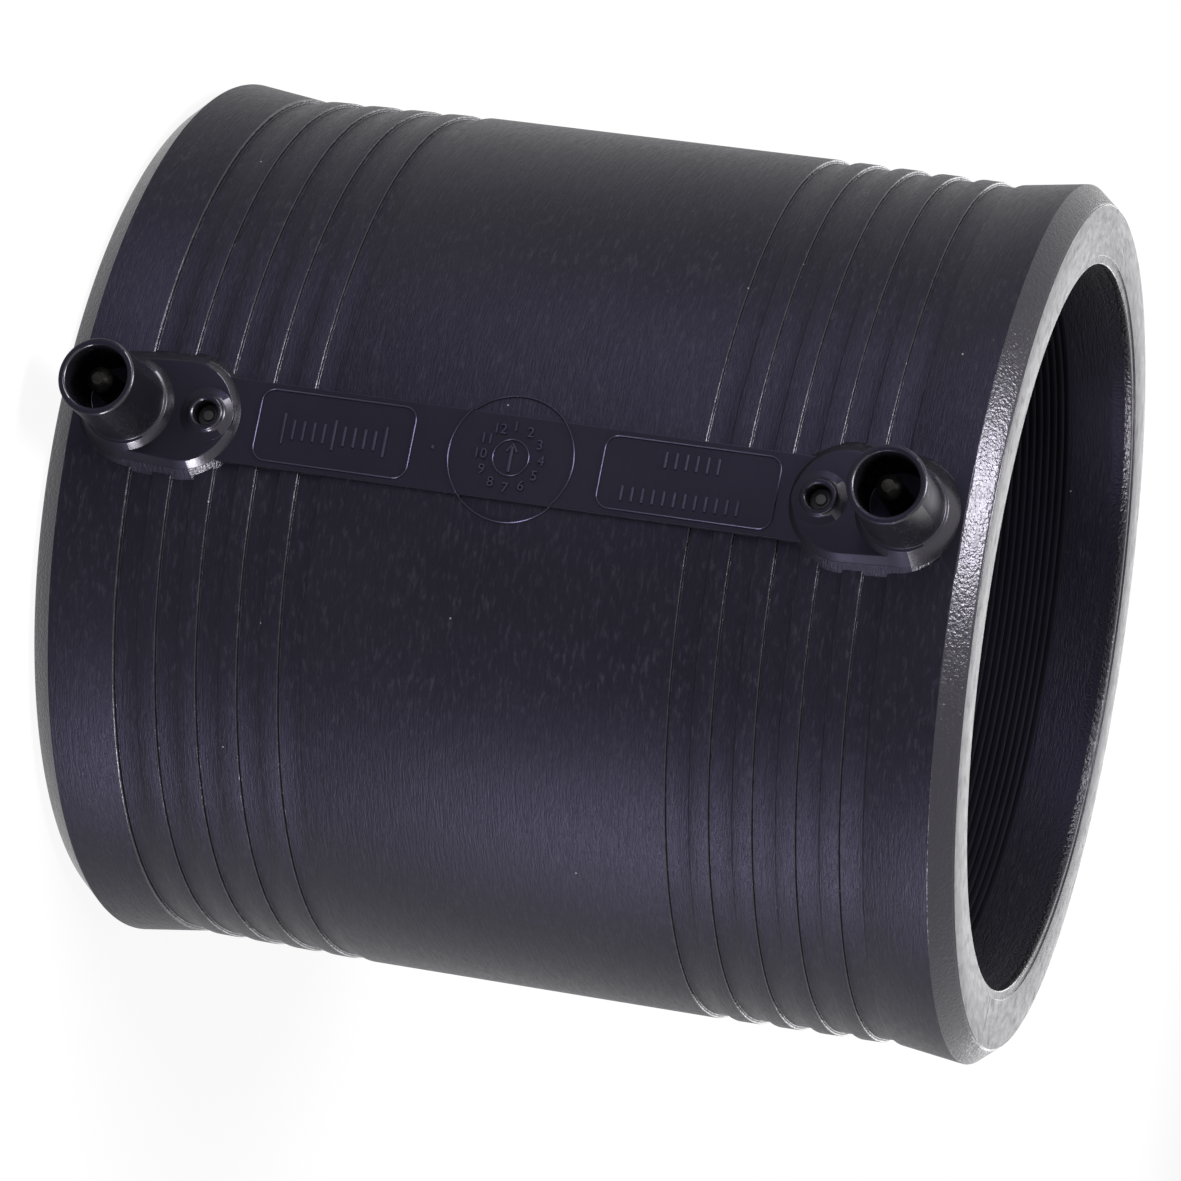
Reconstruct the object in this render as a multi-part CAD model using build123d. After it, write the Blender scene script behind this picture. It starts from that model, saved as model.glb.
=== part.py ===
from build123d import *
import math
import os

# Electrofusion coupler for plastic pressure pipe.
# The pipe axis is Z and the origin is the middle of the bore. Both terminals point to -Y.
# All sizes are in millimetres.

# Barrel: the bore fits the pipe, and the wall stands on the bore
LENGTH = 144.0
BORE_R = 55.4
WALL = 12.9

# End of the barrel: chamfered rim, sunken ring round the mouth, and the pipe's lead-in taper
CHAMFER_LENGTH = 3.4
CHAMFER_DROP = 2.9
MOUTH_RING_WIDTH = 1.4
MOUTH_RING_DEPTH = 0.25
MOUTH_LAND = 1.2
MOUTH_LEAD_IN = 1.7

# Grip grooves and the flared band outside them, on each half
END_BAND = 13.5
GROOVE_COUNT = 5
GROOVE_PITCH = 6.6
GROOVE_WIDTH = 3.6
GROOVE_DEPTH = 0.6
GROOVE_WALL_RUN = 0.1
GRIP_DROP = 0.45
FLARE_RISE = 1.35

# Heating windings, set flush in the bore behind a cold zone at each mouth
COLD_MOUTH = 10.0
WINDING_LENGTH = 34.5
WINDING_THICKNESS = 2.0
WIRE_R = 0.5

# Label pad between the two bosses
PAD_WIDTH = 12.9
PAD_RISE = 0.4

# Terminal shroud and its conical collar
TERMINAL_INSET = 12.0
SHROUD_R = 5.9
SHROUD_WALL = 1.15
SHROUD_ROOT_DRAFT = 0.25
SHROUD_DEPTH = 12.0
SHROUD_RISE = 17.1
COLLAR_RISE = 3.4
COLLAR_LEDGE = 0.15
FLANK_ANGLE = 31.0

# Oblong boss under the collar and the fusion indicator
BOSS_RISE = 1.9
BOSS_HALF_WIDTH = 7.7
BOSS_LENGTH = 23.8
BOSS_ROOT_DEPTH = 2.8

# Contact pin
PIN_R = 2.0
PIN_TIP_R = 1.0
PIN_TIP_LENGTH = 1.2
PIN_RECESS = 1.0
PIN_STEM_R = 1.5

# Fusion indicator
INDICATOR_OFFSET = 12.7
INDICATOR_HOLE_R = 1.85
INDICATOR_WALL = 0.75
INDICATOR_TUBE_RISE = 1.15
INDICATOR_FOOT_WIDTH = 1.6
INDICATOR_CLEARANCE = 0.05
INDICATOR_RECESS = 2.0
INDICATOR_SKIN = 2.6

# Share of a tube's wall that each bevel takes at its mouth
LIP_SHARE = 0.3

# Sizes that follow
HALF_LENGTH = LENGTH / 2
BARREL_R = BORE_R + WALL
GROOVE_END = HALF_LENGTH - END_BAND
GROOVE_START = GROOVE_END - GROOVE_WIDTH - (GROOVE_COUNT - 1) * GROOVE_PITCH
BAND_R = BARREL_R - GRIP_DROP + FLARE_RISE
MOUTH_R = BORE_R + MOUTH_LEAD_IN
MOUTH_RING_R = MOUTH_R + MOUTH_RING_WIDTH
MOUTH_RING = HALF_LENGTH - MOUTH_RING_DEPTH
WINDING_R = BORE_R + WINDING_THICKNESS
WINDING_END = HALF_LENGTH - COLD_MOUTH
WINDING_START = WINDING_END - WINDING_LENGTH
FLANK_SLOPE = math.tan(math.radians(FLANK_ANGLE))
PAD_TOP = BARREL_R + PAD_RISE
BOSS_TOP = BARREL_R + BOSS_RISE
BOSS_ROOT = BARREL_R - BOSS_ROOT_DEPTH
TERMINAL_Z = HALF_LENGTH - TERMINAL_INSET
SHROUD_BORE_R = SHROUD_R - SHROUD_WALL
SHROUD_ROOT_R = SHROUD_R + SHROUD_ROOT_DRAFT
SHROUD_LIP = SHROUD_WALL * LIP_SHARE
COLLAR_TOP = BARREL_R + COLLAR_RISE
COLLAR_TOP_R = SHROUD_ROOT_R + COLLAR_LEDGE
SHROUD_TOP = BARREL_R + SHROUD_RISE
SHROUD_FLOOR = SHROUD_TOP - SHROUD_DEPTH
INDICATOR_Z = TERMINAL_Z - INDICATOR_OFFSET
INDICATOR_TOP = BOSS_TOP + INDICATOR_TUBE_RISE
INDICATOR_TUBE_R = INDICATOR_HOLE_R + INDICATOR_WALL
INDICATOR_FOOT_R = INDICATOR_TUBE_R + INDICATOR_FOOT_WIDTH
INDICATOR_LIP = INDICATOR_WALL * LIP_SHARE
INDICATOR_FLOOR = WINDING_R + INDICATOR_SKIN

STAND = (Align.CENTER, Align.CENTER, Align.MIN)
SIDES = {"top": 1, "bottom": -1}


def turned(outline):
    """Solid of revolution about Z from (radius, height) points."""
    section = make_face(Polyline(*outline, close=True))
    return revolve(Plane.XZ * section, Axis.Z)


def radial(z):
    """Frame on the pipe axis at height z, whose Z points out towards the terminals."""
    return Plane(origin=(0, 0, z), x_dir=(1, 0, 0), z_dir=(0, -1, 0)).location


def collar_radius(height):
    """Radius of the collar's conical flank at a height above the pipe axis."""
    return COLLAR_TOP_R + (COLLAR_TOP - height) * FLANK_SLOPE


def grip_radius(z):
    """Radius of the groove crests, which fall slightly from the barrel to the end band."""
    return BARREL_R - GRIP_DROP * (z - GROOVE_START) / (GROOVE_END - GROOVE_START)


def half_outline():
    """Outside of the upper half from the middle to the end face, as (radius, z) points."""
    points = []
    for i in range(GROOVE_COUNT):
        start = GROOVE_START + i * GROOVE_PITCH
        end = start + GROOVE_WIDTH
        points.append((grip_radius(start), start))
        points.append((grip_radius(start) - GROOVE_DEPTH, start + GROOVE_WALL_RUN))
        points.append((grip_radius(end) - GROOVE_DEPTH, end - GROOVE_WALL_RUN))
        points.append((grip_radius(end), end))
    points.append((BAND_R, HALF_LENGTH - CHAMFER_LENGTH))
    points.append((BAND_R - CHAMFER_DROP, HALF_LENGTH))
    return points


def half_bore():
    """Inside of the upper half from the end face to the middle, as (radius, z) points."""
    return [
        (MOUTH_RING_R, HALF_LENGTH),
        (MOUTH_RING_R, MOUTH_RING),
        (MOUTH_R, MOUTH_RING),
        (MOUTH_R, MOUTH_RING - MOUTH_LAND),
        (BORE_R, WINDING_END),
        (WINDING_R, WINDING_END),
        (WINDING_R, WINDING_START),
        (BORE_R, WINDING_START),
    ]


def mirrored(points):
    """The same points on the other half, in reverse order."""
    return [(r, -z) for r, z in reversed(points)]


def sleeve():
    """The barrel with its grooves, flared ends, ringed mouths and tapered lead-ins."""
    outside = mirrored(half_outline()) + half_outline()
    inside = half_bore() + mirrored(half_bore())
    return turned(outside + inside)


def boss_outline(side, spread):
    """Outline round the terminal and the indicator, grown all round by a spread."""
    terminal_end_r = collar_radius(BOSS_TOP)
    inner_centre = TERMINAL_Z + terminal_end_r - BOSS_LENGTH + BOSS_HALF_WIDTH
    ends = Sketch() + Pos(0, side * TERMINAL_Z) * Circle(terminal_end_r + spread)
    ends += Pos(0, side * inner_centre) * Circle(BOSS_HALF_WIDTH + spread)
    return make_hull(ends.edges())


def boss(side):
    """Oblong boss with drafted flanks, round the terminal at one end."""
    root = Pos(0, 0, BOSS_ROOT) * boss_outline(side, (BOSS_TOP - BOSS_ROOT) * FLANK_SLOPE)
    top = Pos(0, 0, BOSS_TOP) * boss_outline(side, 0)
    return radial(0) * loft([root, top], ruled=True)


def terminal_shroud():
    """Conical collar and the round shroud on it, open at the top."""
    collar = turned([
        (0, BOSS_ROOT),
        (collar_radius(BOSS_ROOT), BOSS_ROOT),
        (COLLAR_TOP_R, COLLAR_TOP),
        (0, COLLAR_TOP),
    ])
    tube = turned([
        (0, BOSS_ROOT),
        (SHROUD_ROOT_R, BOSS_ROOT),
        (SHROUD_ROOT_R, COLLAR_TOP),
        (SHROUD_R, SHROUD_TOP - SHROUD_LIP),
        (SHROUD_R - SHROUD_LIP, SHROUD_TOP),
        (0, SHROUD_TOP),
    ])
    return collar + tube


def shroud_hollow():
    """Space inside the shroud round the contact pin, and the hole for the pin's stem."""
    return turned([
        (0, BORE_R),
        (PIN_STEM_R, BORE_R),
        (PIN_STEM_R, SHROUD_FLOOR),
        (SHROUD_BORE_R, SHROUD_FLOOR),
        (SHROUD_BORE_R, SHROUD_TOP - SHROUD_LIP),
        (SHROUD_BORE_R + SHROUD_LIP, SHROUD_TOP),
        (0, SHROUD_TOP),
    ])


def indicator_tube():
    """Short tube with a conical foot that guides the fusion indicator."""
    return turned([
        (0, BOSS_ROOT),
        (INDICATOR_FOOT_R, BOSS_ROOT),
        (INDICATOR_FOOT_R, BOSS_TOP),
        (INDICATOR_TUBE_R, INDICATOR_TOP - INDICATOR_LIP),
        (INDICATOR_TUBE_R - INDICATOR_LIP, INDICATOR_TOP),
        (0, INDICATOR_TOP),
    ])


def indicator_hole():
    """Blind hole for the fusion indicator, bevelled at its mouth."""
    return turned([
        (0, INDICATOR_FLOOR),
        (INDICATOR_HOLE_R, INDICATOR_FLOOR),
        (INDICATOR_HOLE_R, INDICATOR_TOP - INDICATOR_LIP),
        (INDICATOR_HOLE_R + INDICATOR_LIP, INDICATOR_TOP),
        (0, INDICATOR_TOP),
    ])


def label_pad():
    """Flat strip between the two bosses."""
    length = 2 * INDICATOR_Z
    thickness = PAD_TOP - BOSS_ROOT
    strip = Box(PAD_WIDTH, length, thickness, align=STAND)
    return radial(0) * Pos(0, 0, BOSS_ROOT) * strip


def link_channel():
    """Round channel in the cold middle zone, from one winding's end to the other's."""
    centre_r = BORE_R + WINDING_THICKNESS / 2
    return Pos(0, -centre_r, 0) * Cylinder(WIRE_R, 2 * WINDING_START)


def body():
    """The moulded housing: barrel, pad, bosses, shrouds and indicator tubes in one piece."""
    part = sleeve() + label_pad()
    for side in SIDES.values():
        part += boss(side)
        part += radial(side * TERMINAL_Z) * terminal_shroud()
        part += radial(side * INDICATOR_Z) * indicator_tube()
    for side in SIDES.values():
        part -= radial(side * TERMINAL_Z) * shroud_hollow()
        part -= radial(side * INDICATOR_Z) * indicator_hole()
    return part - link_channel()


def heating_winding(side):
    """Tight winding of coated wire, flush with the bore."""
    middle = side * (WINDING_START + WINDING_LENGTH / 2)
    return Pos(0, 0, middle) * (Cylinder(WINDING_R, WINDING_LENGTH) - Cylinder(BORE_R, WINDING_LENGTH))


def terminal_pin():
    """Round contact pin with a bevelled tip, and the stem that carries it to the winding."""
    tip = SHROUD_TOP - PIN_RECESS
    return turned([
        (0, WINDING_R),
        (PIN_STEM_R, WINDING_R),
        (PIN_STEM_R, SHROUD_FLOOR),
        (PIN_R, SHROUD_FLOOR),
        (PIN_R, tip - PIN_TIP_LENGTH),
        (PIN_TIP_R, tip),
        (0, tip),
    ])


def fusion_indicator():
    """Small pin that waits below the mouth of its tube."""
    radius = INDICATOR_HOLE_R - INDICATOR_CLEARANCE
    length = INDICATOR_TOP - INDICATOR_RECESS - INDICATOR_FLOOR
    return Pos(0, 0, INDICATOR_FLOOR) * Cylinder(radius, length, align=STAND)


nodes = {"body": body(), "link_wire": link_channel()}
for name, side in SIDES.items():
    nodes["heating_winding_" + name] = heating_winding(side)
    nodes["terminal_pin_" + name] = radial(side * TERMINAL_Z) * terminal_pin()
    nodes["fusion_indicator_" + name] = radial(side * INDICATOR_Z) * fusion_indicator()

os.makedirs("parts", exist_ok=True)
for name, solid in nodes.items():
    export_step(solid, "parts/" + name + ".step")
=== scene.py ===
import math
import bmesh
import bpy
from mathutils import Matrix, Vector


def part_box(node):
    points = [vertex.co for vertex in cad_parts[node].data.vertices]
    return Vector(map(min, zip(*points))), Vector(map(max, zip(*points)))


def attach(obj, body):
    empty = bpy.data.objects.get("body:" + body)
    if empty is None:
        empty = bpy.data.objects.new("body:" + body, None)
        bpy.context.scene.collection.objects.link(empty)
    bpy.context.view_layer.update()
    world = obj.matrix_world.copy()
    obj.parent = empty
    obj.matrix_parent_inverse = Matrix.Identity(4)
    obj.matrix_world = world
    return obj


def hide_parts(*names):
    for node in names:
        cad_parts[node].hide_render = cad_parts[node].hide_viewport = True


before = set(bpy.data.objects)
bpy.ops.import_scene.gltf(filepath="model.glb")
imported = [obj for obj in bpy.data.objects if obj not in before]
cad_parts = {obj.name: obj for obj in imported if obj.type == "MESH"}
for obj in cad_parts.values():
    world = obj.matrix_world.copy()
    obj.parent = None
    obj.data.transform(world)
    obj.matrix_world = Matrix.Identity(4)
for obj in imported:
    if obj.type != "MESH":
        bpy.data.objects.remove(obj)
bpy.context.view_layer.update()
MM = 0.001

# Sizes in millimetres. The frame gives the main ones, and the rest are the moulding's own details.
body_low, body_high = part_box("body")
winding_low, winding_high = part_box("heating_winding_top")
pin_low, pin_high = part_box("terminal_pin_top")
indicator_low, indicator_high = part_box("fusion_indicator_top")

HALF_LENGTH = body_high.z / MM
BAND_R = -body_low.x / MM
SHROUD_TOP = -body_low.y / MM
WINDING_R = winding_high.x / MM
WINDING_START = winding_low.z / MM
WINDING_END = winding_high.z / MM
PIN_R = pin_high.x / MM
PIN_ROOT = -pin_high.y / MM
PIN_TOP = -pin_low.y / MM
TERMINAL_Z = (pin_low.z + pin_high.z) / 2 / MM
INDICATOR_Z = (indicator_low.z + indicator_high.z) / 2 / MM
INDICATOR_R = indicator_high.x / MM
INDICATOR_FLOOR = -indicator_high.y / MM
INDICATOR_HEAD = -indicator_low.y / MM

BAND_RISE = 0.9
WINDING_THICKNESS = 2.0
BARREL_R = BAND_R - BAND_RISE
BORE_R = WINDING_R - WINDING_THICKNESS
CHAMFER_LENGTH = 3.4
CHAMFER_DROP = 2.9
MOUTH_LEAD_IN = 1.7
MOUTH_RING_WIDTH = 1.4
MOUTH_R = BORE_R + MOUTH_LEAD_IN
MOUTH_RING_R = MOUTH_R + MOUTH_RING_WIDTH
MOUTH_RING_DEPTH = 0.25
MOUTH_LAND = 1.2

GROOVE_COUNT = 5
GROOVE_PITCH = 6.6
GROOVE_WIDTH = 3.6
GROOVE_DEPTH = 0.6
GROOVE_WALL_RUN = 0.1
GRIP_DROP = 0.45
END_BAND = 13.5
GROOVE_END = HALF_LENGTH - END_BAND
GROOVE_START = GROOVE_END - GROOVE_WIDTH - (GROOVE_COUNT - 1) * GROOVE_PITCH

PAD_HALF_WIDTH = 6.45
PAD_RISE = 0.4
PAD_TOP = BARREL_R + PAD_RISE
FLANK_ANGLE = math.radians(31)
FLANK_SLOPE = math.tan(FLANK_ANGLE)
BOSS_RISE = 1.9
BOSS_ROOT_DEPTH = 2.8
BOSS_TOP = BARREL_R + BOSS_RISE
BOSS_ROOT = BARREL_R - BOSS_ROOT_DEPTH
BOSS_HALF_WIDTH = 7.7
BOSS_LENGTH = 23.8
COLLAR_RISE = 3.4
COLLAR_TOP = BARREL_R + COLLAR_RISE
COLLAR_TOP_R = 6.3
SHROUD_R = 5.9
SHROUD_ROOT_R = 6.15
SHROUD_BORE_R = 4.75
SHROUD_DEPTH = 12.0
SHROUD_FLOOR = SHROUD_TOP - SHROUD_DEPTH
TUBE_RISE = 1.15
TUBE_TOP = BOSS_TOP + TUBE_RISE
TUBE_R = 2.6
TUBE_FOOT_R = 4.2
HOLE_R = 1.85
PIN_STEM_R = 1.5

SLEEVE_SEGMENTS = 288
WINDING_SEGMENTS = 192
GROOVE_EDGE = 0.28
GROOVE_ROOT = 0.1
TURN_PITCH = 1.15
TURN_DEPTH = 0.12
TURN_PROFILE = ((0, 1), (0.12, 0.45), (0.3, 0.06), (0.5, 0), (0.7, 0.06), (0.88, 0.45))
RELIEF = 0.3
FONT_SIZE_PER_HEIGHT = 1.35
BEAD_SECTION = ((-0.5, -0.5), (-0.42, 0.7), (0, 1), (0.42, 0.7), (0.5, -0.5))


# ---------------------------------------------------------------- mesh tools

def corner_arc(before, at, after, radius, steps):
    """Points of the arc that rounds one corner of an outline."""
    inward = (Vector(before) - Vector(at)).normalized()
    onward = (Vector(after) - Vector(at)).normalized()
    half = inward.angle(onward) / 2
    reach = radius / math.tan(half)
    centre = Vector(at) + (inward + onward).normalized() * radius / math.sin(half)
    first = Vector(at) + inward * reach - centre
    last = Vector(at) + onward * reach - centre
    turn = math.pi - 2 * half
    if first.cross(last) < 0:
        turn = -turn
    points = []
    for i in range(steps + 1):
        c, s = math.cos(turn * i / steps), math.sin(turn * i / steps)
        points.append((centre.x + first.x * c - first.y * s, centre.y + first.x * s + first.y * c))
    return points


def rounded(corners, steps=3, closed=True):
    """Outline through (x, y, radius) corners, each rounded by its own radius."""
    points = []
    count = len(corners)
    for i, (x, y, radius) in enumerate(corners):
        if radius <= 0 or (not closed and i in (0, count - 1)):
            points.append((x, y))
        else:
            after = corners[(i + 1) % count]
            points += corner_arc(corners[i - 1][:2], (x, y), after[:2], radius, steps)
    return points


def link(name, data):
    """New object in the scene for a mesh, curve, camera or light."""
    obj = bpy.data.objects.new(name, data)
    bpy.context.scene.collection.objects.link(obj)
    return obj


def new_object(name, vertices, faces):
    mesh = bpy.data.meshes.new(name)
    mesh.from_pydata([[c * MM for c in v] for v in vertices], [], faces)
    return link(name, mesh)


def lathe(name, outline, segments):
    """Ring-shaped solid from a closed (radius, z) outline turned about Z."""
    count = len(outline)
    vertices = []
    for j in range(segments):
        angle = 2 * math.pi * j / segments
        vertices += [(r * math.cos(angle), r * math.sin(angle), z) for r, z in outline]
    faces = []
    for j in range(segments):
        here, there = j * count, (j + 1) % segments * count
        for i in range(count):
            m = (i + 1) % count
            faces.append((here + i, there + i, there + m, here + m))
    return new_object(name, vertices, faces)


def spindle(name, outline, segments):
    """Solid from a (radius, z) outline that starts and ends on the Z axis."""
    inner = outline[1:-1]
    count = len(inner)
    vertices = [(0, 0, outline[0][1]), (0, 0, outline[-1][1])]
    for j in range(segments):
        angle = 2 * math.pi * j / segments
        vertices += [(r * math.cos(angle), r * math.sin(angle), z) for r, z in inner]
    faces = []
    for j in range(segments):
        here, there = 2 + j * count, 2 + (j + 1) % segments * count
        faces.append((0, there, here))
        faces.append((1, here + count - 1, there + count - 1))
        faces += [(here + i, there + i, there + i + 1, here + i + 1) for i in range(count - 1)]
    return new_object(name, vertices, faces)


def loft(name, loops):
    """Closed solid through loops of equal length, from the first to the last."""
    count = len(loops[0])
    faces = [tuple(reversed(range(count)))]
    for n in range(len(loops) - 1):
        for i in range(count):
            m = (i + 1) % count
            faces.append((n * count + i, n * count + m, (n + 1) * count + m, (n + 1) * count + i))
    faces.append(tuple(range((len(loops) - 1) * count, len(loops) * count)))
    return new_object(name, [v for ring in loops for v in ring], faces)


def outward(obj, z):
    """Turns a solid built along +Z so that it stands out to -Y at height z."""
    obj.data.transform(Matrix(((1, 0, 0, 0), (0, 0, -1, 0), (0, 1, 0, z * MM), (0, 0, 0, 1))))
    return obj


def evaluated_mesh(obj):
    """Mesh of an object after its modifiers, or of a text curve."""
    graph = bpy.context.evaluated_depsgraph_get()
    return bpy.data.meshes.new_from_object(obj.evaluated_get(graph))


def boolean(target, others, operation):
    """Joins the others to the target, or cuts them from it, and deletes them."""
    for other in others:
        modifier = target.modifiers.new("boolean", "BOOLEAN")
        modifier.operation = operation
        modifier.solver = "EXACT"
        modifier.object = other
    mesh = evaluated_mesh(target)
    target.modifiers.clear()
    target.data = mesh
    for other in others:
        bpy.data.objects.remove(other)


def finish_piece(obj, node=None, sharp=25):
    """Smooth shading with sharp edges kept, and the piece's place in the frame."""
    obj.data.polygons.foreach_set("use_smooth", [True] * len(obj.data.polygons))
    obj.data.set_sharp_from_angle(angle=math.radians(sharp))
    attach(obj, "root")
    if node:
        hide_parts(node)
    return obj


# ---------------------------------------------------------------- moulded body

def grip_radius(z):
    return BARREL_R - GRIP_DROP * (z - GROOVE_START) / (GROOVE_END - GROOVE_START)


def half_section():
    """Corners (radius, z, rounding) of the +Z half, from the barrel round to the bore."""
    corners = []
    for i in range(GROOVE_COUNT):
        start = GROOVE_START + i * GROOVE_PITCH
        end = start + GROOVE_WIDTH
        corners.append((grip_radius(start), start, GROOVE_EDGE))
        corners.append((grip_radius(start) - GROOVE_DEPTH, start + GROOVE_WALL_RUN, GROOVE_ROOT))
        corners.append((grip_radius(end) - GROOVE_DEPTH, end - GROOVE_WALL_RUN, GROOVE_ROOT))
        corners.append((grip_radius(end), end, GROOVE_EDGE))
    ring = HALF_LENGTH - MOUTH_RING_DEPTH
    return corners + [
        (BAND_R, HALF_LENGTH - CHAMFER_LENGTH, 0.3),
        (BAND_R - CHAMFER_DROP, HALF_LENGTH, 0.15),
        (MOUTH_RING_R, HALF_LENGTH, 0.1),
        (MOUTH_RING_R, ring, 0.08),
        (MOUTH_R, ring, 0.35),
        (MOUTH_R, ring - MOUTH_LAND, 0.1),
        (BORE_R, WINDING_END, 0),
        (WINDING_R, WINDING_END, 0),
        (WINDING_R, WINDING_START, 0),
        (BORE_R, WINDING_START, 0),
    ]


def sleeve():
    upper = half_section()
    lower = [(r, -z, rounding) for r, z, rounding in reversed(upper)]
    return lathe("coupler_body", rounded(upper + lower), SLEEVE_SEGMENTS)


def collar_radius(height):
    return COLLAR_TOP_R + (COLLAR_TOP - height) * FLANK_SLOPE


def boss_ring(side, height, spread, steps=32):
    """Oblong ring round the terminal and the indicator at one height."""
    far_r = collar_radius(BOSS_TOP)
    near_z = TERMINAL_Z + far_r - BOSS_LENGTH + BOSS_HALF_WIDTH
    lean = math.asin((BOSS_HALF_WIDTH - far_r) / (TERMINAL_Z - near_z))
    points = []
    for radius, centre, first, sweep in (
            (far_r + spread, TERMINAL_Z, lean, math.pi - 2 * lean),
            (BOSS_HALF_WIDTH + spread, near_z, math.pi - lean, math.pi + 2 * lean)):
        for i in range(steps + 1):
            t = first + sweep * i / steps
            points.append((radius * math.cos(t), centre + radius * math.sin(t), height))
    if side < 0:
        points = [(x, -z, h) for x, z, h in reversed(points)]
    return points


def boss(side, lip=0.4, steps=4):
    """Oblong boss with drafted flanks and a rounded top edge."""
    turn = math.pi / 2 - FLANK_ANGLE
    loops = [boss_ring(side, BOSS_ROOT, (BOSS_TOP - BOSS_ROOT) * FLANK_SLOPE)]
    for i in range(steps):
        t = turn * (1 - i / (steps - 1))
        spread = lip * (math.sin(t) - math.tan(turn / 2))
        loops.append(boss_ring(side, BOSS_TOP - lip * (1 - math.cos(t)), spread))
    return outward(loft("boss", loops), 0)


def shroud(side):
    """Conical collar, and the round shroud with its rounded mouth."""
    outline = rounded([
        (0, BOSS_ROOT, 0),
        (collar_radius(BOSS_ROOT), BOSS_ROOT, 0),
        (COLLAR_TOP_R + 0.3, COLLAR_TOP - 0.2, 0.25),
        (SHROUD_ROOT_R, COLLAR_TOP, 0.2),
        (SHROUD_R, SHROUD_TOP, 0.5),
        (SHROUD_BORE_R, SHROUD_TOP, 0.5),
        (SHROUD_BORE_R, SHROUD_FLOOR, 0.3),
        (0, SHROUD_FLOOR, 0),
    ], steps=6, closed=False)
    return outward(spindle("shroud", outline, 96), side * TERMINAL_Z)


def indicator_tube(side):
    """Short tube with a flared foot round the fusion indicator."""
    outline = rounded([
        (0, BOSS_ROOT, 0),
        (TUBE_FOOT_R, BOSS_ROOT, 0),
        (TUBE_FOOT_R, BOSS_TOP, 0.1),
        (TUBE_R + 0.3, BOSS_TOP + 0.5, 0.7),
        (TUBE_R, TUBE_TOP, 0.35),
        (0, TUBE_TOP, 0),
    ], steps=6, closed=False)
    return outward(spindle("tube", outline, 72), side * INDICATOR_Z)


def indicator_cut(side):
    """Space inside the indicator's tube, rounded at its mouth."""
    outline = rounded([
        (0, INDICATOR_FLOOR, 0),
        (HOLE_R, INDICATOR_FLOOR, 0),
        (HOLE_R, TUBE_TOP - 0.25, 0.4),
        (HOLE_R + 0.4, TUBE_TOP + 0.1, 0),
        (HOLE_R + 0.4, TUBE_TOP + 1, 0),
        (0, TUBE_TOP + 1, 0),
    ], steps=4, closed=False)
    return outward(spindle("cut", outline, 72), side * INDICATOR_Z)


def label_pad():
    section = rounded([
        (-PAD_HALF_WIDTH, BOSS_ROOT, 0),
        (PAD_HALF_WIDTH, BOSS_ROOT, 0),
        (PAD_HALF_WIDTH, PAD_TOP, 0.12),
        (-PAD_HALF_WIDTH, PAD_TOP, 0.12),
    ])
    loops = [[(x, z, y) for x, y in reversed(section)] for z in (-INDICATOR_Z, INDICATOR_Z)]
    return outward(loft("pad", loops), 0)


def coupler_body():
    body = sleeve()
    added = [label_pad()]
    for side in (1, -1):
        added += [boss(side), shroud(side), indicator_tube(side)]
    boolean(body, added, "UNION")
    boolean(body, [indicator_cut(side) for side in (1, -1)], "DIFFERENCE")
    return finish_piece(body, "body")


# ---------------------------------------------------------------- inner pieces

def winding(name, node, side):
    """Winding whose coated turns stand close together as fine ridges in the bore."""
    turns = int((WINDING_END - WINDING_START) / TURN_PITCH)
    pitch = (WINDING_END - WINDING_START) / turns
    outline = [(WINDING_R, WINDING_START), (WINDING_R, WINDING_END)]
    for i in range(turns):
        for share, depth in TURN_PROFILE:
            z = WINDING_END - (i + share) * pitch
            outline.append((BORE_R + depth * TURN_DEPTH, z))
    outline.append((BORE_R + TURN_DEPTH, WINDING_START))
    piece = lathe(name, [(r, side * z) for r, z in outline], WINDING_SEGMENTS)
    if side > 0:
        piece.data.flip_normals()
    return finish_piece(piece, node, sharp=60)


def contact_pin(name, node, side):
    """Turned contact pin: rounded shoulder, bevelled nose and a fine groove round it."""
    groove_r = PIN_R - 0.18
    outline = rounded([
        (0, PIN_ROOT, 0),
        (PIN_STEM_R, PIN_ROOT, 0),
        (PIN_STEM_R, SHROUD_FLOOR, 0),
        (PIN_R, SHROUD_FLOOR, 0),
        (PIN_R, PIN_TOP - 5.2, 0.05),
        (groove_r, PIN_TOP - 5.1, 0.05),
        (groove_r, PIN_TOP - 4.8, 0.05),
        (PIN_R, PIN_TOP - 4.7, 0.05),
        (PIN_R, PIN_TOP - 1.2, 0.35),
        (1.05, PIN_TOP - 0.15, 0.3),
        (0.95, PIN_TOP, 0.08),
        (0, PIN_TOP, 0),
    ], steps=4, closed=False)
    piece = outward(spindle(name, outline, 64), side * TERMINAL_Z)
    return finish_piece(piece, node)


def indicator(name, node, side):
    """Fusion indicator with a small nub on its domed head."""
    outline = rounded([
        (0, INDICATOR_FLOOR, 0),
        (INDICATOR_R, INDICATOR_FLOOR, 0),
        (INDICATOR_R, INDICATOR_HEAD - 0.5, 0.35),
        (0.95, INDICATOR_HEAD - 0.3, 0.1),
        (0.8, INDICATOR_HEAD, 0.15),
        (0, INDICATOR_HEAD, 0),
    ], steps=4, closed=False)
    piece = outward(spindle(name, outline, 48), side * INDICATOR_Z)
    return finish_piece(piece, node)


# ---------------------------------------------------------------- relief on the label pad

def surface_height(x):
    """Distance of the pad or barrel surface from the XZ plane at x."""
    if abs(x) <= PAD_HALF_WIDTH:
        return PAD_TOP
    return math.sqrt(BARREL_R ** 2 - x ** 2)


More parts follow.
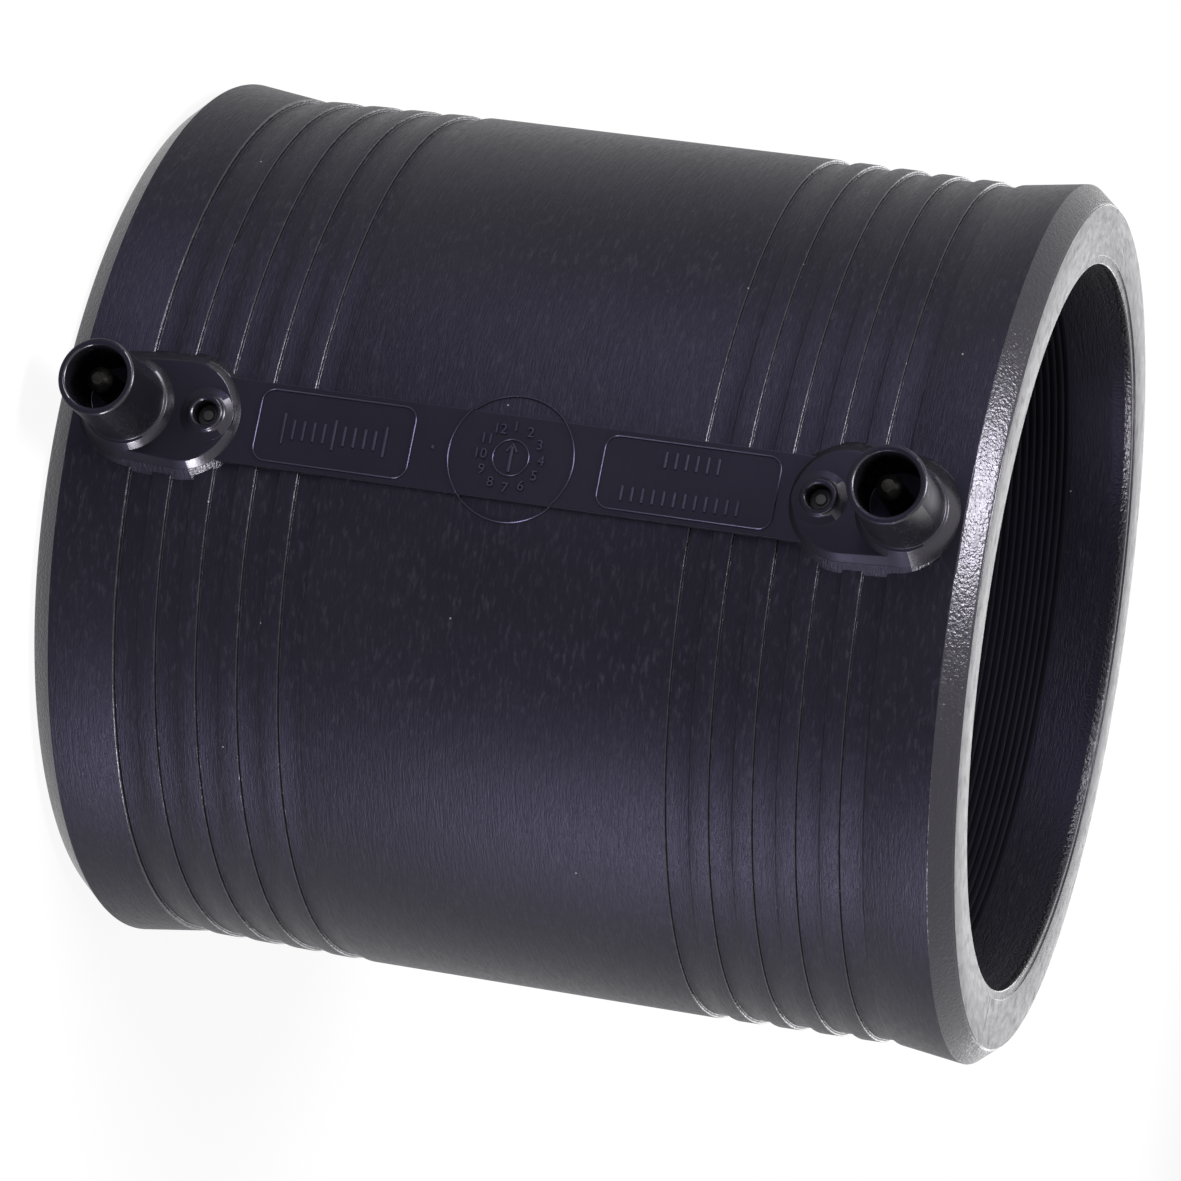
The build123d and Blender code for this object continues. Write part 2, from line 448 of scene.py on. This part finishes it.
def raised_line(name, path, width, closed=False):
    """Low rounded bead that follows (x, z) points over the surface."""
    count = len(path)
    vertices, faces = [], []
    for i, (x, z) in enumerate(path):
        before = path[i - 1] if closed or i > 0 else path[i]
        after = path[(i + 1) % count] if closed or i < count - 1 else path[i]
        along = (Vector(after) - Vector(before)).normalized()
        for across, rise in BEAD_SECTION:
            px = x - along.y * across * width
            pz = z + along.x * across * width
            vertices.append((px, -surface_height(px) - rise * RELIEF, pz))
    n = len(BEAD_SECTION)
    for i in range(count if closed else count - 1):
        here, there = i * n, (i + 1) % count * n
        for k in range(n):
            m = (k + 1) % n
            faces.append((here + k, here + m, there + m, there + k))
    if not closed:
        faces.append(tuple(reversed(range(n))))
        faces.append(tuple(range((count - 1) * n, count * n)))
    return new_object(name, vertices, faces)


def circle_path(radius, steps):
    """Circle of (x, z) points round the middle of the pad."""
    turns = [math.radians(360.0 * i / steps) for i in range(steps)]
    return [(radius * math.cos(t), radius * math.sin(t)) for t in turns]


def pad_frame(z0, z1, half_width=5.5, corner=2.0, line=0.22):
    """Rounded rectangle of beads across the pad, from z0 to z1."""
    corners = [(-half_width, z0, corner), (half_width, z0, corner),
               (half_width, z1, corner), (-half_width, z1, corner)]
    return raised_line("frame", rounded(corners, steps=6), line, closed=True)


def number(text, x, z, height):
    """One raised plain number on the dial, read from the camera's side."""
    curve = bpy.data.curves.new("number", "FONT")
    curve.body = text
    curve.align_x = "CENTER"
    curve.align_y = "CENTER"
    curve.size = height * FONT_SIZE_PER_HEIGHT * MM
    curve.extrude = RELIEF * MM
    curve.resolution_u = 3
    holder = link("number", curve)
    mesh = evaluated_mesh(holder)
    bpy.data.objects.remove(holder)
    axes = Matrix(((0, -1, 0, x * MM), (0, 0, -1, -PAD_TOP * MM), (1, 0, 0, z * MM), (0, 0, 0, 1)))
    mesh.transform(axes)
    return link("number", mesh)


def bar_row(x, z, count, length, width, pitch=1.6, long_step=0, long_length=0.0):
    """Row of bars along z. With long_step, every so many bars is a long one."""
    bars = []
    for i in range(count):
        reach = (long_length if long_step and i % long_step == 0 else length) / 2
        place = z + pitch * i
        bars.append(raised_line("bar", [(x - reach, place), (x + reach, place)], width))
    return bars


def join(name, pieces):
    """One object from several that share the same space."""
    joined = bmesh.new()
    for piece in pieces:
        joined.from_mesh(piece.data)
        bpy.data.objects.remove(piece)
    mesh = bpy.data.meshes.new(name)
    joined.to_mesh(mesh)
    joined.free()
    return link(name, mesh)


def date_dial():
    """Insert mark: witness circle, twelve plain numbers round a dial, and a pointer."""
    witness_r, dial_r, number_r, number_height, dot_z = 9.6, 2.75, 4.7, 1.6, -12.1
    parts = [
        raised_line("witness", circle_path(witness_r, 144), 0.22, closed=True),
        raised_line("dial", circle_path(dial_r, 64), 0.24, closed=True),
        raised_line("pointer", [(2.2, 0), (-1.7, 0)], 0.5),
        raised_line("pointer", [(-0.9, -0.8), (-2.1, 0), (-0.9, 0.8)], 0.4),
        raised_line("dot", [(-0.25, dot_z), (0.25, dot_z)], 0.5),
    ]
    for i in range(12):
        t = 2 * math.pi * i / 12
        parts.append(number(str(i + 1), -number_r * math.cos(t), number_r * math.sin(t),
                            number_height))
    return finish_piece(join("pad_date_dial", parts))


def pad_frames():
    """Two round-cornered frames, each with plain rows of bars in place of any wording."""
    parts = [pad_frame(-39.6, -15.4), pad_frame(13.9, 40.6)]
    parts += bar_row(0.3, -35.5, 11, 3.0, 0.45, long_step=5, long_length=4.6)
    parts += bar_row(-2.8, 23.3, 6, 2.4, 0.42)
    parts += bar_row(3.0, 17.6, 12, 2.2, 0.42)
    return finish_piece(join("pad_frames", parts))


# ---------------------------------------------------------------- materials

VIOLET_SHEEN = (0.6, 0.54, 1.0, 1)
WHITE_SHEEN = (0.9, 0.86, 1.0, 1)


class Nodes:
    """Short way to write a material's node tree."""

    def __init__(self, name):
        self.material = bpy.data.materials.new(name)
        self.material.use_nodes = True
        self.tree = self.material.node_tree
        self.shader = self.tree.nodes["Principled BSDF"]

    def add(self, kind, *inputs, **settings):
        node = self.tree.nodes.new(kind)
        for key, value in settings.items():
            setattr(node, key, value)
        for i, source in enumerate(inputs):
            self.feed(source, node.inputs[i])
        return node

    def feed(self, source, socket):
        if isinstance(source, (int, float, tuple)):
            socket.default_value = source
        else:
            self.tree.links.new(source, socket)

    def math(self, operation, *inputs, clamp=False):
        node = self.add("ShaderNodeMath", *inputs, operation=operation, use_clamp=clamp)
        return node.outputs[0]

    def multiply(self, first, second):
        return self.math("MULTIPLY", first, second)

    def spread(self, value, amount, base):
        """base + value * amount"""
        return self.math("ADD", base, self.multiply(value, amount))

    def ramp(self, value, low, high, to_low=0.0, to_high=1.0):
        node = self.add("ShaderNodeMapRange", value, low, high, to_low, to_high)
        node.interpolation_type = "SMOOTHSTEP"
        return node.outputs[0]

    def noise(self, vector, scale=1.0, detail=2.0, roughness=0.5, stretch=None):
        """Noise of a scale per millimetre, finer along an axis where it is stretched more."""
        if stretch:
            node = self.add("ShaderNodeVectorMath", vector, stretch, operation="MULTIPLY")
            vector = node.outputs[0]
        node = self.add("ShaderNodeTexNoise", vector)
        node.inputs["Scale"].default_value = scale
        node.inputs["Detail"].default_value = detail
        node.inputs["Roughness"].default_value = roughness
        return node.outputs["Fac"]

    def bump(self, height, depth, strength=1.0, normal=None):
        """Bump whose full height is depth millimetres."""
        node = self.add("ShaderNodeBump")
        node.inputs["Strength"].default_value = strength
        node.inputs["Distance"].default_value = depth * MM
        self.feed(height, node.inputs["Height"])
        if normal:
            self.feed(normal, node.inputs["Normal"])
        return node.outputs["Normal"]

    def mix(self, factor, first, second):
        node = self.add("ShaderNodeMix", data_type="RGBA")
        self.feed(factor, node.inputs["Factor"])
        self.feed(first, node.inputs["A"])
        self.feed(second, node.inputs["B"])
        return node.outputs["Result"]

    def set(self, **values):
        for key, value in values.items():
            self.feed(value, self.shader.inputs[key.replace("_", " ")])


class Place:
    """Where a point of the object is, in millimetres."""

    def __init__(self, n):
        metres = n.add("ShaderNodeTexCoord").outputs["Object"]
        scaled = n.add("ShaderNodeVectorMath", metres, operation="SCALE")
        scaled.inputs["Scale"].default_value = 1 / MM
        self.xyz = scaled.outputs[0]
        self.x, self.y, self.z = n.add("ShaderNodeSeparateXYZ", self.xyz).outputs
        self.outwards = n.multiply(self.y, -1.0)
        squares = n.math("ADD", n.multiply(self.x, self.x), n.multiply(self.y, self.y))
        self.radius = n.math("SQRT", squares)
        arc = n.multiply(n.math("ARCTAN2", self.x, self.outwards), BARREL_R)
        self.unrolled = n.add("ShaderNodeCombineXYZ", arc, self.z, self.radius).outputs[0]


def black_polyethylene(name, base_roughness, specular, tint):
    """Black moulded polyethylene: turned streaks, scuffs, sparkling eroded rims and dust."""
    n = Nodes(name)
    at = Place(n)
    height = n.math("ABSOLUTE", at.z)

    rim_start = HALF_LENGTH - CHAMFER_LENGTH
    on_rim = n.ramp(height, rim_start - 0.1, rim_start + 0.25)
    on_face = n.ramp(height, HALF_LENGTH - 0.35, HALF_LENGTH - 0.1)
    eroded = n.multiply(on_rim, n.math("SUBTRACT", 1.0, on_face))
    on_pad = n.ramp(at.outwards, PAD_TOP - 0.15, PAD_TOP - 0.02)
    barrel = n.math("SUBTRACT", 1.0, n.math("MAXIMUM", on_rim, on_pad), clamp=True)

    streaks = n.noise(at.unrolled, detail=3.0, roughness=0.6, stretch=(0.28, 2.6, 1.0))
    fine = n.noise(at.unrolled, roughness=0.6, stretch=(0.9, 7.0, 1.0))
    scratches = n.noise(at.xyz, detail=4.0, roughness=0.65, stretch=(0.5, 0.5, 1.6))
    scuffs = n.ramp(scratches, 0.5, 0.72)
    clouds = n.noise(at.xyz, 0.05, 3.0)
    grain = n.noise(at.xyz, 2.6, roughness=0.6)
    pits = n.noise(at.xyz, 1.9, 1.5, 0.6)

    around = n.multiply(n.math("ARCTAN2", at.x, at.y), 3.0)
    rings = n.noise(n.add("ShaderNodeCombineXYZ", n.multiply(at.radius, 3.5), around).outputs[0])

    turned = n.multiply(barrel, n.math("ADD", n.multiply(streaks, 0.7), n.multiply(fine, 0.5)))
    flat = n.multiply(n.math("MAXIMUM", on_pad, on_face), n.multiply(grain, 0.35))
    ringed = n.multiply(on_face, n.multiply(rings, 0.35))

    parting_line = n.ramp(n.math("ABSOLUTE", at.y), 0.0, 0.22, 1.0, 0.0)
    nick_r = 61.0
    lean = n.multiply(n.math("SUBTRACT", at.radius, nick_r), 0.03)
    nick = n.ramp(n.math("ABSOLUTE", n.math("ADD", at.y, lean)), 0.05, 0.3, 1.0, 0.0)
    nick_end = n.ramp(at.radius, nick_r + 1.8, nick_r + 0.5, 0.0, 1.0)
    nick = n.multiply(nick, n.multiply(on_face, nick_end))
    nick = n.multiply(nick, n.ramp(at.radius, MOUTH_RING_R - 0.1, MOUTH_RING_R + 0.1))

    normal = n.bump(turned, 0.2, 0.7)
    normal = n.bump(n.multiply(eroded, pits), 0.12, 1.0, normal)
    normal = n.bump(n.math("ADD", flat, ringed), 0.05, 0.6, normal)
    normal = n.bump(parting_line, 0.06, 0.8, normal)
    normal = n.bump(nick, -0.4, 1.0, normal)

    specks = n.add("ShaderNodeTexVoronoi", at.xyz, feature="F1")
    specks.inputs["Scale"].default_value = 0.11
    dust = n.ramp(specks.outputs["Distance"], 0.008, 0.022, 1.0, 0.0)

    color = n.mix(clouds, (0.003, 0.0029, 0.0038, 1), (0.0065, 0.0062, 0.008, 1))
    scuffed = n.multiply(scuffs, n.multiply(barrel, 0.5))
    color = n.mix(scuffed, color, (0.02, 0.0195, 0.025, 1))
    color = n.mix(n.multiply(dust, 0.6), color, (0.3, 0.3, 0.3, 1))
    color = n.mix(nick, color, (0.004, 0.004, 0.005, 1))

    roughness = n.spread(n.math("SUBTRACT", streaks, 0.5), 0.22, base_roughness)
    n.set(Base_Color=color, Roughness=n.spread(scuffs, 0.08, roughness), Normal=normal,
          Specular_IOR_Level=specular, Specular_Tint=tint)
    return n.material


def relief_plastic():
    """The same polyethylene on the fine raised marks, a little shinier on their crests."""
    n = Nodes("relief_polyethylene")
    at = Place(n)
    grain = n.noise(at.xyz, 3.0, roughness=0.6)
    crest = n.noise(at.xyz, 0.4)
    n.set(Base_Color=n.mix(crest, (0.006, 0.0057, 0.0075, 1), (0.011, 0.0105, 0.0135, 1)),
          Roughness=n.spread(crest, 0.14, 0.26), Normal=n.bump(grain, 0.03, 0.5),
          Specular_IOR_Level=0.45, Specular_Tint=VIOLET_SHEEN)
    return n.material


def coated_turns():
    """Polyethylene over the turns: smooth crests under a haze of grease and fine dust, with
    painted shade darkening the valleys between them.
    """
    n = Nodes("coated_turns")
    at = Place(n)
    haze = n.noise(at.xyz, detail=3.0, roughness=0.6, stretch=(0.06, 0.06, 0.06))
    fine = n.noise(at.unrolled, stretch=(0.4, 5.0, 1.0))
    valley_shade = n.ramp(at.radius, BORE_R + 0.05, BORE_R + TURN_DEPTH)
    crest = n.mix(haze, (0.004, 0.0039, 0.005, 1), (0.0075, 0.007, 0.009, 1))
    # painted shade: the valleys between the turns are coloured darker than the crests
    n.set(Base_Color=n.mix(valley_shade, crest, (0.003, 0.003, 0.0035, 1)),
          Roughness=n.spread(haze, 0.2, 0.34), Normal=n.bump(fine, 0.04, 0.6),
          Specular_IOR_Level=0.15, Specular_Tint=VIOLET_SHEEN)
    return n.material


def shade_darkened_brass():
    """Contact pin, coloured near black as painted shade for the shade inside its shroud, a little
    lighter in random patches.
    """
    n = Nodes("shade_darkened_contact_brass")
    at = Place(n)
    tone_noise = n.noise(at.xyz, 0.7, 4.0, 0.65)
    turning = n.noise(at.xyz, stretch=(1.0, 9.0, 1.0))
    lighter_patches = n.ramp(tone_noise, 0.35, 0.7)
    # near-black brass colour is painted shade, a little lighter where the noise is high
    n.set(Base_Color=n.mix(lighter_patches, (0.007, 0.0068, 0.0068, 1), (0.018, 0.017, 0.016, 1)),
          Roughness=n.spread(tone_noise, 0.2, 0.36), Normal=n.bump(turning, 0.03, 0.6), Metallic=1.0)
    return n.material


def indicator_polymer():
    """Dark grey plastic of the fusion indicators."""
    n = Nodes("indicator_polymer")
    grain = n.noise(Place(n).xyz, 2.2, 3.0, 0.6)
    n.set(Base_Color=n.mix(grain, (0.012, 0.012, 0.014, 1), (0.024, 0.023, 0.027, 1)),
          Roughness=n.spread(grain, 0.15, 0.42), Normal=n.bump(grain, 0.04, 0.5),
          Specular_IOR_Level=0.25)
    return n.material


def copper_wire():
    """Bare wire that links the two windings inside the wall."""
    n = Nodes("link_copper")
    drawn = n.noise(Place(n).xyz, stretch=(6.0, 6.0, 0.3))
    n.set(Base_Color=n.mix(drawn, (0.6, 0.33, 0.2, 1), (0.75, 0.45, 0.3, 1)),
          Roughness=n.spread(drawn, 0.15, 0.28), Normal=n.bump(drawn, 0.02, 0.5), Metallic=1.0)
    return n.material


def dress(obj, material):
    """Leaves the object with this one material."""
    obj.data.materials.clear()
    obj.data.materials.append(material)


def shine_rims_and_upward_faces(obj, material, slight_lean=0.25, level=0.93):
    """Gives the end rims the shinier plastic, and also the faces that lean upwards towards the
    overhead lamp, as a painted highlight.
    """
    obj.data.materials.append(material)
    rim_start = (HALF_LENGTH - CHAMFER_LENGTH) * MM
    for face in obj.data.polygons:
        lean = face.normal.z
        on_rim = abs(face.center.z) > rim_start and abs(lean) < level
        # faces that lean up towards the overhead lamp get the shinier copy: painted highlight
        if on_rim or slight_lean < lean < level:
            face.material_index = 1


# ---------------------------------------------------------------- the object

polyethylene = black_polyethylene("black_polyethylene", 0.4, 0.15, VIOLET_SHEEN)
# shinier copy of the polyethylene: for the end rims, and as a painted highlight on faces that lean
# upwards
rims = black_polyethylene("rim_and_highlight_polyethylene", 0.25, 0.6, WHITE_SHEEN)
relief = relief_plastic()
turns = coated_turns()
# contact pins: brass coloured near black as painted shade
brass = shade_darkened_brass()
polymer = indicator_polymer()

body = coupler_body()
dress(body, polyethylene)
# end rims get the shinier plastic; the upward-leaning faces get it as a painted highlight
shine_rims_and_upward_faces(body, rims)
dress(date_dial(), relief)
dress(pad_frames(), relief)
for end, side in (("top", 1), ("bottom", -1)):
    dress(winding("heating_turns_" + end, "heating_winding_" + end, side), turns)
    dress(contact_pin("contact_pin_" + end, "terminal_pin_" + end, side), brass)
    dress(indicator("button_" + end, "fusion_indicator_" + end, side), polymer)
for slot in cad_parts["link_wire"].material_slots:
    slot.material = copper_wire()


# ---------------------------------------------------------------- camera, light and floor

CAMERA_AZIMUTH = 11.12
CAMERA_ELEVATION = 15.04
CAMERA_ROLL = 98.17
CAMERA_DISTANCE = 852.4
CAMERA_LENS = 163.0
CAMERA_TARGET = Vector((4.5, 0.1, -3.0))


def aim(obj, azimuth, elevation, distance, target, roll=0.0):
    """Puts an object at a distance in a direction from the target, facing the target."""
    a, e = math.radians(azimuth), math.radians(elevation)
    back = Vector((math.sin(a) * math.cos(e), -math.cos(a) * math.cos(e), math.sin(e)))
    place = Matrix.Translation((target + back * distance) * MM)
    turn = back.to_track_quat("Z", "Y").to_matrix().to_4x4()
    obj.matrix_world = place @ turn @ Matrix.Rotation(math.radians(roll), 4, "Z")


def add_camera():
    data = bpy.data.cameras.new("camera")
    data.lens = CAMERA_LENS
    data.clip_start = 0.01
    camera = link("camera", data)
    bpy.context.scene.camera = camera
    aim(camera, CAMERA_AZIMUTH, CAMERA_ELEVATION, CAMERA_DISTANCE, CAMERA_TARGET, CAMERA_ROLL)


def softbox(name, azimuth, elevation, distance, width, height, radiance):
    """Rectangular soft light, as bright as a surface of the given radiance."""
    light = bpy.data.lights.new(name, "AREA")
    light.shape = "RECTANGLE"
    light.size = width * MM
    light.size_y = height * MM
    light.energy = radiance * math.pi * light.size * light.size_y
    obj = link(name, light)
    obj.visible_camera = False
    aim(obj, azimuth, elevation, distance, Vector((0, 0, 0)))


def white_for_views(tree):
    """1 for camera, glossy and transmission rays, so that they see a white studio."""
    path = tree.nodes.new("ShaderNodeLightPath")
    seen = path.outputs["Is Camera Ray"]
    for kind in ("Is Glossy Ray", "Is Transmission Ray"):
        either = tree.nodes.new("ShaderNodeMath")
        either.operation = "MAXIMUM"
        tree.links.new(seen, either.inputs[0])
        tree.links.new(path.outputs[kind], either.inputs[1])
        seen = either.outputs[0]
    return seen


def add_world(ambient):
    world = bpy.data.worlds.new("world")
    bpy.context.scene.world = world
    world.use_nodes = True
    tree = world.node_tree
    strength = tree.nodes.new("ShaderNodeMapRange")
    strength.inputs["To Min"].default_value = ambient
    strength.inputs["To Max"].default_value = 1.0
    tree.links.new(white_for_views(tree), strength.inputs["Value"])
    background = tree.nodes["Background"]
    background.inputs["Color"].default_value = (1, 1, 1, 1)
    tree.links.new(strength.outputs["Result"], background.inputs["Strength"])


def add_floor(reach, white_share):
    corners = [(-reach, -reach), (reach, -reach), (reach, reach), (-reach, reach)]
    floor = new_object("floor", [(x, y, -HALF_LENGTH) for x, y in corners], [(0, 1, 2, 3)])
    material = bpy.data.materials.new("pale_floor")
    material.use_nodes = True
    tree = material.node_tree
    shader = tree.nodes["Principled BSDF"]
    shader.inputs["Base Color"].default_value = (0.85, 0.85, 0.85, 1)
    shader.inputs["Roughness"].default_value = 0.9
    shader.inputs["Specular IOR Level"].default_value = 0.0
    glow = tree.nodes.new("ShaderNodeEmission")
    share = tree.nodes.new("ShaderNodeMath")
    share.operation = "MULTIPLY"
    share.inputs[1].default_value = white_share
    tree.links.new(white_for_views(tree), share.inputs[0])
    blend = tree.nodes.new("ShaderNodeMixShader")
    tree.links.new(share.outputs[0], blend.inputs[0])
    tree.links.new(shader.outputs[0], blend.inputs[1])
    tree.links.new(glow.outputs[0], blend.inputs[2])
    tree.links.new(blend.outputs[0], tree.nodes["Material Output"].inputs["Surface"])
    floor.data.materials.append(material)


add_camera()
softbox("overhead", -34, 62, 1100, 460, 400, 27.0)
softbox("right_side", 80, 3.5, 800, 380, 230, 30.0)
softbox("left_side", -38, 4, 900, 560, 250, 13.0)
softbox("behind", 190, 13, 1200, 900, 360, 3.4)
softbox("behind_high", 196, 34, 1200, 520, 260, 4.0)
add_world(0.25)
add_floor(4000, 0.9)

bpy.context.scene.view_settings.view_transform = "Standard"
